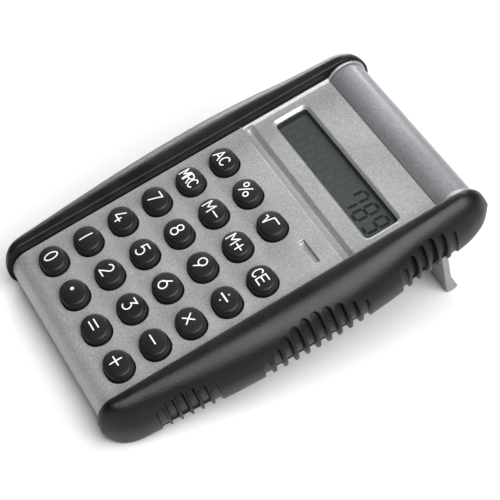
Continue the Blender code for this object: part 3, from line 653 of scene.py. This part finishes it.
def grips():
    """Both grips: the right one, and the same mirrored."""
    y, x, z = grip_shape()
    x, z = cut_channels(y, x, z)
    rows, columns = x.shape
    index = np.arange(rows * columns).reshape(rows, columns)
    after = np.roll(index, -1, axis=1)
    quads = np.stack([index[:-1], after[:-1], after[1:], index[1:]], -1).reshape(-1, 4)
    faces = quads.tolist() + [index[0].tolist(), index[-1].tolist()]
    for name, side in (("grip_left", -1), ("grip_right", 1)):
        points = np.stack([side * x, np.repeat(y[:, None], columns, 1), z], -1).reshape(-1, 3)
        mesh = bpy.data.meshes.new(name + "_fine")
        mesh.from_pydata(points.tolist(), [], faces)
        bm = bmesh.new()
        bm.from_mesh(mesh)
        bmesh.ops.recalc_face_normals(bm, faces=bm.faces)
        bm.to_mesh(mesh)
        bm.free()
        mesh.shade_smooth()
        mesh.set_sharp_from_angle(angle=math.radians(65))
        add_piece(name + "_fine", mesh, GRIP, "case", "grip_rubber", name)


# ---------------------------------------------------------------- keys

def dome(x, y):
    """Height of a key's top at a place measured from its middle."""
    return KEY_TOP_Z - KEY_DOME * ((x / KEY_HALF[0]) ** 2 + (y / KEY_HALF[1]) ** 2)


def key_mesh():
    """A key from its foot under the plate to its domed top, as rings of points."""
    levels = ((-2.0, -5.0), (-2.0, -3.3), (0.6, -3.3), (0.6, -2.1), (0.0, -2.1), (-0.05, -0.5), (-0.12, 0.8),
              (-KEY_TAPER, KEY_FILLET_Z))
    rings = [[(x, y, z) for x, y in key_outline(grow)] for grow, z in levels]
    for step in range(1, 9):
        a = math.radians(90 * step / 8)
        grow = -KEY_TAPER - KEY_FILLET * (1 - math.cos(a))
        rings.append([(x, y, KEY_FILLET_Z + (dome(x, y) - KEY_FILLET_Z) * math.sin(a))
                      for x, y in key_outline(grow)])
    for grow in (-1.6, -2.2, -2.8, -3.4, -4.0, -4.25):
        rings.append([(x, y, dome(x, y)) for x, y in key_outline(grow)])
    bm = bmesh.new()
    verts = [[bm.verts.new(point) for point in ring] for ring in rings]
    for lower, upper in zip(verts, verts[1:]):
        for i in range(len(lower)):
            j = (i + 1) % len(lower)
            bm.faces.new((lower[i], lower[j], upper[j], upper[i]))
    bm.faces.new(verts[0][::-1])
    bm.faces.new(verts[-1])
    mesh = mesh_of(bm, "key_cap")
    mesh.shade_smooth()
    mesh.set_sharp_from_angle(angle=math.radians(50))
    return mesh


def ellipse(cx, cy, rx, ry, start=0, end=360, steps=28):
    """Points along an ellipse, or a part of it."""
    angles = [math.radians(start + (end - start) * step / steps) for step in range(steps + 1)]
    return [(cx + rx * math.cos(a), cy + ry * math.sin(a)) for a in angles]


def letter(name, x, width, height):
    """Strokes of a letter, standing on a line at minus half the height, with its left side at x."""
    low, high, mid = -height / 2, height / 2, x + width / 2
    right = x + width
    if name == "A":
        bar_y = -0.17 * height
        return [[(x, low), (mid, high), (right, low)],
                [(x + 0.2 * width, bar_y), (right - 0.2 * width, bar_y)]]
    if name == "C":
        return [ellipse(mid + 0.05, 0.0, width / 2, height / 2, 42, 318)]
    if name == "M":
        dip = low + 0.35 * height
        return [[(x, low), (x + 0.06, high), (mid, dip), (right - 0.06, high), (right, low)]]
    if name == "R":
        bowl = ellipse(mid + 0.1, 0.25 * height, width / 2 - 0.1, 0.25 * height, 90, -90, 14)
        return [[(x, low), (x, high)] + bowl + [(x, 0.0)], [(mid, 0.0), (right, low)]]
    if name == "E":
        return [[(right, high), (x, high), (x, low), (right, low)], [(x, 0.05), (right - 0.25, 0.05)]]
    if name == "+":
        return [[(x, 0.0), (right, 0.0)], [(mid, -width / 2), (mid, width / 2)]]
    return [[(x, 0.0), (right, 0.0)]]


def legend(name):
    """Strokes of each key's legend, in millimetres from the middle of the key."""
    word = {"ac": (("A", -3.3, 2.8), ("C", 0.1, 2.5)), "ce": (("C", -3.1, 2.3), ("E", -0.1, 2.4)),
            "mrc": (("M", -3.6, 2.2), ("R", -0.9, 2.0), ("C", 1.5, 2.2)),
            "m_minus": (("M", -3.4, 3.1), ("-", 0.7, 2.7)), "m_plus": (("M", -3.4, 3.1), ("+", 0.5, 2.9))}
    if name in word:
        return [stroke for sign, x, width in word[name] for stroke in letter(sign, x, width, WORD_HEIGHT)]
    h = DIGIT_HALF_HEIGHT
    strokes = {
        "0": [ellipse(-0.6, 0.0, 1.3, h)],
        "1": [[(-0.5, -h), (-0.4, h)]],
        "2": [ellipse(-0.5, h - 1.3, 1.3, 1.3, 160, -30, 18) + [(-1.9, -h), (0.9, -h)]],
        "3": [[(-1.6, h), (0.9, h), (-0.5, 0.55)] + ellipse(-0.55, -h + 1.45, 1.5, 1.45, 75, -140, 20)],
        "4": [[(-0.5, h), (-2.0, -0.95), (1.1, -0.95)], [(0.2, 0.0), (0.2, -h)]],
        "5": [[(0.9, h), (-1.2, h), (-1.4, 0.25)] + ellipse(-0.3, -h + 1.45, 1.45, 1.45, 125, -140, 22)],
        "6": [[(0.3, h), (-1.4, -0.1)], ellipse(-0.35, -h + 1.45, 1.45, 1.45)],
        "7": [[(-1.4, h), (1.2, h), (-0.6, -h)]],
        "8": [ellipse(-0.15, h - 1.05, 1.1, 1.05), ellipse(-0.15, -h + 1.2, 1.35, 1.2)],
        "9": [[(-0.7, -h), (1.0, 0.1)], ellipse(-0.1, h - 1.45, 1.45, 1.45)],
        "point": [[(-0.9, 0.3), (-0.9, 0.301)]],
        "equals": [[(-2.4, 0.95), (1.2, 0.95)], [(-2.4, -0.75), (1.2, -0.75)]],
        "plus": [[(-2.5, 0.0), (1.2, 0.0)], [(-0.6, -2.0), (-0.6, 2.0)]],
        "minus": [[(-2.4, 0.1), (1.4, 0.1)]],
        "times": [[(-1.7, -1.5), (1.1, 1.4)], [(-1.7, 1.4), (1.1, -1.5)]],
        "divide": [[(-2.2, 0.0), (1.5, 0.0)], [(-0.35, 1.6), (-0.35, 1.601)],
                   [(-0.35, -1.6), (-0.35, -1.601)]],
        "percent": [ellipse(-1.8, 1.15, 0.85, 0.85), ellipse(1.3, -1.0, 0.85, 0.85),
                    [(-1.6, -1.9), (1.0, 1.9)]],
        "root": [[(-3.3, 0.45), (-2.4, 0.6), (-1.6, -2.0), (-0.7, 1.9), (2.2, 1.9)]],
    }
    return strokes[name]


def stroke_distance(strokes, x, y):
    """Distance from each place to the nearest stroke."""
    best = np.full(x.shape, 1e9)
    for line in strokes:
        for (ax, ay), (bx, by) in zip(line, line[1:]):
            dx, dy = bx - ax, by - ay
            t = np.clip(((x - ax) * dx + (y - ay) * dy) / max(dx * dx + dy * dy, 1e-12), 0.0, 1.0)
            best = np.minimum(best, np.hypot(x - ax - t * dx, y - ay - t * dy))
    return best


def ink_mesh(strokes, half_width):
    """A thin film of ink on the dome, traced round the strokes on a fine grid."""
    xs = np.arange(-INK_REACH[0], INK_REACH[0] + INK_GRID / 10, INK_GRID)
    ys = np.arange(-INK_REACH[1], INK_REACH[1] + INK_GRID / 10, INK_GRID)
    gx, gy = np.meshgrid(xs, ys, indexing="ij")
    inside = half_width - stroke_distance(strokes, gx, gy)
    bm = bmesh.new()
    made = {}

    def corner(i, j):
        """The vertex on a grid point, made once."""
        if (i, j) not in made:
            made[(i, j)] = bm.verts.new((xs[i], ys[j], dome(xs[i], ys[j])))
        return made[(i, j)]

    def crossing(a, b):
        """The vertex where the ink's edge crosses a grid line, made once."""
        key = (min(a, b), max(a, b))
        if key not in made:
            (ia, ja), (ib, jb) = key
            t = min(max(inside[key[0]] / (inside[key[0]] - inside[key[1]]), 0.02), 0.98)
            x = xs[ia] + (xs[ib] - xs[ia]) * t
            y = ys[ja] + (ys[jb] - ys[ja]) * t
            made[key] = bm.verts.new((x, y, dome(x, y)))
        return made[key]

    cells = np.maximum.reduce([inside[:-1, :-1], inside[1:, :-1], inside[1:, 1:], inside[:-1, 1:]])
    for i, j in np.argwhere(cells > 0).tolist():
        cell = [(i, j), (i + 1, j), (i + 1, j + 1), (i, j + 1)]
        ring = []
        for a, b in zip(cell, cell[1:] + cell[:1]):
            if inside[a] > 0:
                ring.append(corner(*a))
            if (inside[a] > 0) != (inside[b] > 0):
                ring.append(crossing(a, b))
        if len(ring) > 2:
            bm.faces.new(ring)
    bmesh.ops.dissolve_limit(bm, angle_limit=math.radians(1.0), verts=bm.verts, edges=bm.edges)
    bmesh.ops.triangulate(bm, faces=bm.faces)
    grown = bmesh.ops.extrude_face_region(bm, geom=list(bm.faces), use_keep_orig=True)
    for vert in (item for item in grown["geom"] if isinstance(item, bmesh.types.BMVert)):
        vert.co.z += INK_THICKNESS
    return mesh_of(bm, "ink")


def keys():
    """Every key with its legend, which rides on the same body."""
    cap = key_mesh()
    for name, (x, y) in key_places():
        place = PLATE_MM @ Matrix.Translation((x, y, 0.0))
        body = "key_" + name
        add_piece(f"{body}_fine", cap.copy(), KEY, body, "key_rubber", body, to_world=place)
        half_width = {"point": 0.62, "divide": 0.28}.get(name, INK_HALF_WIDTH)
        mesh = ink_mesh(legend(name), half_width)
        add_piece(f"legend_{name}", mesh, INK, body, "key_rubber", to_world=place)


# ---------------------------------------------------------------- display

def segment_outline(start, end):
    """A segment with pointed ends between two corners of a digit."""
    length = math.dist(start, end)
    ux, uy = (end[0] - start[0]) / length, (end[1] - start[1]) / length
    nx, ny = -uy * SEGMENT_WIDTH / 2, ux * SEGMENT_WIDTH / 2
    near, far = SEGMENT_GAP, length - SEGMENT_GAP
    tip = SEGMENT_WIDTH / 2
    points = [(near, 0), (near + tip, -1), (far - tip, -1), (far, 0), (far - tip, 1), (near + tip, 1)]
    return [(start[0] + ux * s + nx * n, start[1] + uy * s + ny * n) for s, n in points]


def display():
    """Seven-segment digits: the reading at the right is lit, and every other segment is a faint ghost."""
    w, h = ((size - SEGMENT_WIDTH) / 2 for size in DIGIT_SIZE)
    lines = {"a": ((-w, h), (w, h)), "b": ((w, h), (w, 0)), "c": ((w, 0), (w, -h)), "d": ((-w, -h), (w, -h)),
             "e": ((-w, -h), (-w, 0)), "f": ((-w, 0), (-w, h)), "g": ((-w, 0), (w, 0))}
    shown = {"7": "abcf", "8": "abcdefg", "9": "abcdfg", " ": ""}
    films = {True: bmesh.new(), False: bmesh.new()}
    for place, sign in enumerate(READING.rjust(DIGIT_PLACES)[::-1]):
        for segment, (start, end) in lines.items():
            on = segment in shown[sign]
            outline = [(LAST_DIGIT[0] - DIGIT_PITCH * place + x + DIGIT_SLANT * y, LAST_DIGIT[1] + y)
                       for x, y in segment_outline(start, end)]
            prism(outline, LCD_Z, LCD_Z + SEGMENT_LIFT[on], bm=films[on])
    add_piece("lcd_digits_lit", mesh_of(films[True], "lit"), SEGMENT, "case", "lcd_glass")
    add_piece("lcd_digits_unlit", mesh_of(films[False], "ghost"), GHOST, "case", "lcd_glass")


# ---------------------------------------------------------------- all pieces

front_cover()
rear_cover()
battery_door()
case_screws()
flip_cover()
grips()
keys()
display()

PAINT = {"display_window": LENS, "display_gasket": FOAM, "lcd_panel": LCD, "elastomer_connector": PINK,
         "keypad_web": KEY, "circuit_board": BOARD, "processor_blob": FOAM, "cover_plug_left": PLASTIC,
         "cover_plug_right": PLASTIC}
for node, item in frame["nodes"].items():
    if not item.hide_render:
        item.data.materials.clear()
        item.data.materials.append(PAINT.get(node, STEEL))

# ---------------------------------------------------------------- floor, lights and camera

floor_mesh = bpy.data.meshes.new("studio_floor")
floor_mesh.from_pydata([(-4, -4, 0), (4, -4, 0), (4, 4, 0), (-4, 4, 0)], [], [(0, 1, 2, 3)])
floor = bpy.data.objects.new("studio_floor", floor_mesh)
FLOOR = new_material("floor_paper", (0.47, 0.47, 0.475), 0.9)
floor_mesh.materials.append(FLOOR)
bpy.context.scene.collection.objects.link(floor)

world = bpy.data.worlds.new("studio")
bpy.context.scene.world = world
world.use_nodes = True
world.node_tree.nodes["Background"].inputs["Color"].default_value = (0.93, 0.96, 1.0, 1.0)
world.node_tree.nodes["Background"].inputs["Strength"].default_value = 0.10
bpy.context.scene.view_settings.view_transform = "Standard"


def area_light(name, place, target, size, watts):
    """White rectangular light at a place in metres, turned towards a target."""
    data = bpy.data.lights.new(name, "AREA")
    data.shape = "RECTANGLE"
    data.size, data.size_y = size
    data.energy = watts
    item = bpy.data.objects.new(name, data)
    item.location = place
    item.rotation_euler = (Vector(target) - Vector(place)).to_track_quat("-Z", "Y").to_euler()
    bpy.context.scene.collection.objects.link(item)


area_light("key_softbox", (0.62, 0.1, 1.07), (0.0, 0.0, 0.0), (1.25, 1.5), 51.0)
area_light("left_card", (-1.1, 0.45, 0.3), (0.0, 0.0, 0.02), (0.9, 0.7), 22.0)

camera_data = bpy.data.cameras.new("camera")
camera_data.lens = CAMERA_LENS
camera_data.sensor_width = 36.0
camera_data.clip_start = 0.01
camera = bpy.data.objects.new("camera", camera_data)
bpy.context.scene.collection.objects.link(camera)
turn = Matrix.Rotation(math.radians(CAMERA_AZIMUTH + 90), 4, "Z")
turn = turn @ Matrix.Rotation(math.radians(90 - CAMERA_HEIGHT), 4, "X")
turn = turn @ Matrix.Rotation(math.radians(CAMERA_ROLL), 4, "Z")
camera.matrix_world = PLATE @ Matrix.Translation(CAMERA_PLACE) @ turn
bpy.context.scene.camera = camera
